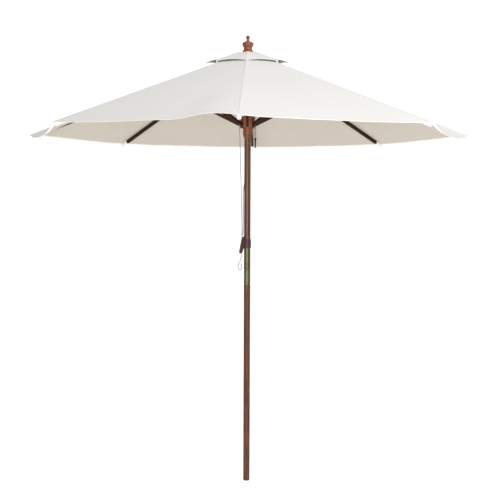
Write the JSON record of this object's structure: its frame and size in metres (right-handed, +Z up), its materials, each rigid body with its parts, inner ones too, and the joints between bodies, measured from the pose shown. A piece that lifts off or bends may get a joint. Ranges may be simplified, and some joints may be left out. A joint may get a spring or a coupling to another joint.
{
  "type": "patio umbrella",
  "caption": "Folding wooden market umbrella with a vented octagonal canopy, rope lift and a two-piece pole.",
  "frame": {"origin": "centre of the pole's lower end", "axes": "+Z up the pole to the finial, -Y from the pole to rib_1"},
  "size_m": [2.56, 2.56, 2.6258],
  "materials": {
    "pole_wood": "oiled hardwood",
    "rib_wood": "oiled hardwood",
    "sleeve_brass": "aged brass",
    "steel": "zinc plated",
    "cleat_bronze": "brown coated",
    "canopy_fabric": "woven",
    "rope": "braided",
    "pulley_plastic": "moulded"
  },
  "bodies": {
    "base_pole": {"lower_pole": "pole_wood", "pole_sleeve": "sleeve_brass", "sleeve_screws": "steel"},
    "mast": {"upper_pole": "pole_wood", "top_hub": "rib_wood", "hub_wire": "steel", "crown_patch": "canopy_fabric", "finial": "pole_wood", "finial_stud": "steel", "pulley_axle": "steel", "cleat": "cleat_bronze", "cleat_screws": "steel", "pull_rope": "rope", "rope_tail": "rope", "return_rope": "rope"},
    "pulley": {"pulley_wheel": "pulley_plastic"},
    "runner_body": {"runner": "rib_wood", "pin_eye": "steel"},
    "hanging_pin": {"locking_pin": "steel", "pin_chain": "steel"},
    "rib_body_1": {"rib_1": "rib_wood", "rib_bracket_1": "steel", "canopy_gore_1": "canopy_fabric"},
    "strut_body_1": {"strut_1": "rib_wood", "strut_pin_1": "steel"},
    "rib_body_2": {"rib_2": "rib_wood", "rib_bracket_2": "steel", "canopy_gore_2": "canopy_fabric"},
    "strut_body_2": {"strut_2": "rib_wood", "strut_pin_2": "steel"},
    "rib_body_3": {"rib_3": "rib_wood", "rib_bracket_3": "steel", "canopy_gore_3": "canopy_fabric"},
    "strut_body_3": {"strut_3": "rib_wood", "strut_pin_3": "steel"},
    "rib_body_4": {"rib_4": "rib_wood", "rib_bracket_4": "steel", "canopy_gore_4": "canopy_fabric"},
    "strut_body_4": {"strut_4": "rib_wood", "strut_pin_4": "steel"},
    "rib_body_5": {"rib_5": "rib_wood", "rib_bracket_5": "steel", "canopy_gore_5": "canopy_fabric"},
    "strut_body_5": {"strut_5": "rib_wood", "strut_pin_5": "steel"},
    "rib_body_6": {"rib_6": "rib_wood", "rib_bracket_6": "steel", "canopy_gore_6": "canopy_fabric"},
    "strut_body_6": {"strut_6": "rib_wood", "strut_pin_6": "steel"},
    "rib_body_7": {"rib_7": "rib_wood", "rib_bracket_7": "steel", "canopy_gore_7": "canopy_fabric"},
    "strut_body_7": {"strut_7": "rib_wood", "strut_pin_7": "steel"},
    "rib_body_8": {"rib_8": "rib_wood", "rib_bracket_8": "steel", "canopy_gore_8": "canopy_fabric"},
    "strut_body_8": {"strut_8": "rib_wood", "strut_pin_8": "steel"}
  },
  "joints": [
    {"name": "mast_lift", "type": "slide", "parent": "base_pole", "child": "mast", "axis": [0, 0, 1], "range_m": [0, 0.108]},
    {"name": "pulley_spin", "type": "hinge", "parent": "mast", "child": "pulley", "pos_m": [0, 0, 2.24], "axis": [0, 1, 0], "continuous": true},
    {"name": "runner_slide", "type": "slide", "parent": "mast", "child": "runner_body", "axis": [0, 0, -1], "range_m": [0, 0.54958], "deforming": ["pull_rope", "return_rope"]},
    {"name": "pin_swing", "type": "hinge", "parent": "runner_body", "child": "hanging_pin", "pos_m": [0.04573, -0.01894, 2.124], "axis": [-0.3827, -0.9239, 0], "range_deg": [0, 75]},
    {"name": "rib_fold_1", "type": "hinge", "parent": "mast", "child": "rib_body_1", "pos_m": [0, -0.048, 2.50221], "axis": [1, 0, 0], "range_deg": [0, 68.31], "deforming": ["canopy_gore_1"]},
    {"name": "strut_fold_1", "type": "hinge", "parent": "rib_body_1", "child": "strut_body_1", "pos_m": [0, -0.47123, 2.3209], "axis": [-1, 0, 0], "range_deg": [0, 132.17]},
    {"name": "rib_fold_2", "type": "hinge", "parent": "mast", "child": "rib_body_2", "pos_m": [0.03394, -0.03394, 2.50221], "axis": [0.7071, 0.7071, 0], "range_deg": [0, 68.31], "deforming": ["canopy_gore_2"]},
    {"name": "strut_fold_2", "type": "hinge", "parent": "rib_body_2", "child": "strut_body_2", "pos_m": [0.33321, -0.33321, 2.3209], "axis": [-0.7071, -0.7071, 0], "range_deg": [0, 132.17]},
    {"name": "rib_fold_3", "type": "hinge", "parent": "mast", "child": "rib_body_3", "pos_m": [0.048, 0, 2.50221], "axis": [0, 1, 0], "range_deg": [0, 68.31], "deforming": ["canopy_gore_3"]},
    {"name": "strut_fold_3", "type": "hinge", "parent": "rib_body_3", "child": "strut_body_3", "pos_m": [0.47123, 0, 2.3209], "axis": [0, -1, 0], "range_deg": [0, 132.17]},
    {"name": "rib_fold_4", "type": "hinge", "parent": "mast", "child": "rib_body_4", "pos_m": [0.03394, 0.03394, 2.50221], "axis": [-0.7071, 0.7071, 0], "range_deg": [0, 68.31], "deforming": ["canopy_gore_4"]},
    {"name": "strut_fold_4", "type": "hinge", "parent": "rib_body_4", "child": "strut_body_4", "pos_m": [0.33321, 0.33321, 2.3209], "axis": [0.7071, -0.7071, 0], "range_deg": [0, 132.17]},
    {"name": "rib_fold_5", "type": "hinge", "parent": "mast", "child": "rib_body_5", "pos_m": [0, 0.048, 2.50221], "axis": [-1, 0, 0], "range_deg": [0, 68.31], "deforming": ["canopy_gore_5"]},
    {"name": "strut_fold_5", "type": "hinge", "parent": "rib_body_5", "child": "strut_body_5", "pos_m": [0, 0.47123, 2.3209], "axis": [1, 0, 0], "range_deg": [0, 132.17]},
    {"name": "rib_fold_6", "type": "hinge", "parent": "mast", "child": "rib_body_6", "pos_m": [-0.03394, 0.03394, 2.50221], "axis": [-0.7071, -0.7071, 0], "range_deg": [0, 68.31], "deforming": ["canopy_gore_6"]},
    {"name": "strut_fold_6", "type": "hinge", "parent": "rib_body_6", "child": "strut_body_6", "pos_m": [-0.33321, 0.33321, 2.3209], "axis": [0.7071, 0.7071, 0], "range_deg": [0, 132.17]},
    {"name": "rib_fold_7", "type": "hinge", "parent": "mast", "child": "rib_body_7", "pos_m": [-0.048, 0, 2.50221], "axis": [0, -1, 0], "range_deg": [0, 68.31], "deforming": ["canopy_gore_7"]},
    {"name": "strut_fold_7", "type": "hinge", "parent": "rib_body_7", "child": "strut_body_7", "pos_m": [-0.47123, 0, 2.3209], "axis": [0, 1, 0], "range_deg": [0, 132.17]},
    {"name": "rib_fold_8", "type": "hinge", "parent": "mast", "child": "rib_body_8", "pos_m": [-0.03394, -0.03394, 2.50221], "axis": [0.7071, -0.7071, 0], "range_deg": [0, 68.31], "deforming": ["canopy_gore_8"]},
    {"name": "strut_fold_8", "type": "hinge", "parent": "rib_body_8", "child": "strut_body_8", "pos_m": [-0.33321, -0.33321, 2.3209], "axis": [-0.7071, 0.7071, 0], "range_deg": [0, 132.17]}
  ],
  "couplings": [
    {"joint": "rib_fold_1", "follows": "runner_slide", "rad_per_m": 2.169},
    {"joint": "strut_fold_1", "follows": "runner_slide", "rad_per_m": 4.197},
    {"joint": "rib_fold_2", "follows": "runner_slide", "rad_per_m": 2.169},
    {"joint": "strut_fold_2", "follows": "runner_slide", "rad_per_m": 4.197},
    {"joint": "rib_fold_3", "follows": "runner_slide", "rad_per_m": 2.169},
    {"joint": "strut_fold_3", "follows": "runner_slide", "rad_per_m": 4.197},
    {"joint": "rib_fold_4", "follows": "runner_slide", "rad_per_m": 2.169},
    {"joint": "strut_fold_4", "follows": "runner_slide", "rad_per_m": 4.197},
    {"joint": "rib_fold_5", "follows": "runner_slide", "rad_per_m": 2.169},
    {"joint": "strut_fold_5", "follows": "runner_slide", "rad_per_m": 4.197},
    {"joint": "rib_fold_6", "follows": "runner_slide", "rad_per_m": 2.169},
    {"joint": "strut_fold_6", "follows": "runner_slide", "rad_per_m": 4.197},
    {"joint": "rib_fold_7", "follows": "runner_slide", "rad_per_m": 2.169},
    {"joint": "strut_fold_7", "follows": "runner_slide", "rad_per_m": 4.197},
    {"joint": "rib_fold_8", "follows": "runner_slide", "rad_per_m": 2.169},
    {"joint": "strut_fold_8", "follows": "runner_slide", "rad_per_m": 4.197}
  ]
}
